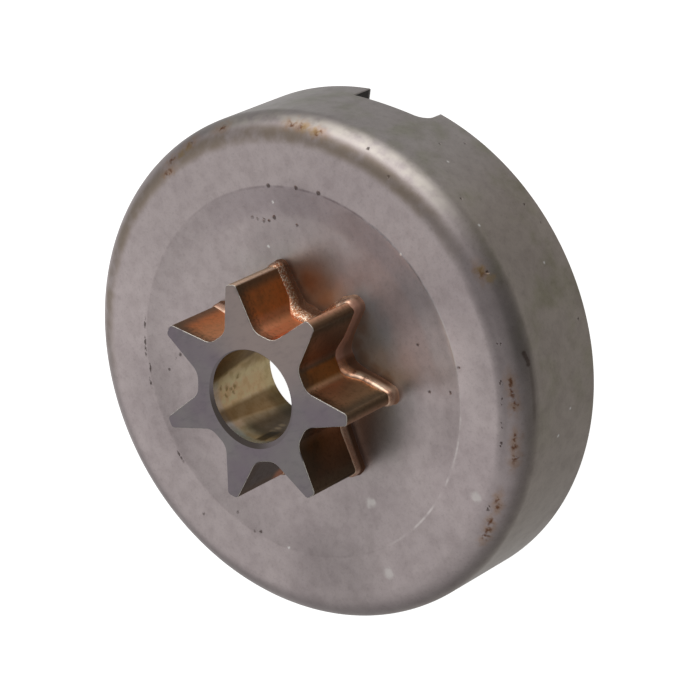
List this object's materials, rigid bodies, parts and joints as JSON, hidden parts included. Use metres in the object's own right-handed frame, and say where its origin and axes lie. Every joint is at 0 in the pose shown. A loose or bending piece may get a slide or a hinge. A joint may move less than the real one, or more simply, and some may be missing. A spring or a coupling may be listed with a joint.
{
  "type": "chainsaw clutch drum",
  "caption": "Pressed steel clutch drum for a chainsaw, with a toothed spur sprocket brazed through its face, a bearing bore and a notch in the open rim.",
  "frame": {"origin": "centre of the drum's open rim, in the plane the rim rests on", "axes": "+Z along the bearing bore from the open rim to the sprocket's front; one tooth stands on the +Y axis; the rim's notch is 34 degrees clockwise of +X seen from +Z"},
  "size_m": [0.0826, 0.0826, 0.0329],
  "materials": {
    "drum_steel": "dull satin, tumbled, with small rust spots",
    "sprocket_steel": "ground front, darker flanks with a copper wash",
    "copper_braze": "bright copper braze"
  },
  "bodies": {
    "root": {"drum_cup": "drum_steel", "spur_sprocket": "sprocket_steel", "braze_fillet": "copper_braze"}
  },
  "joints": []
}
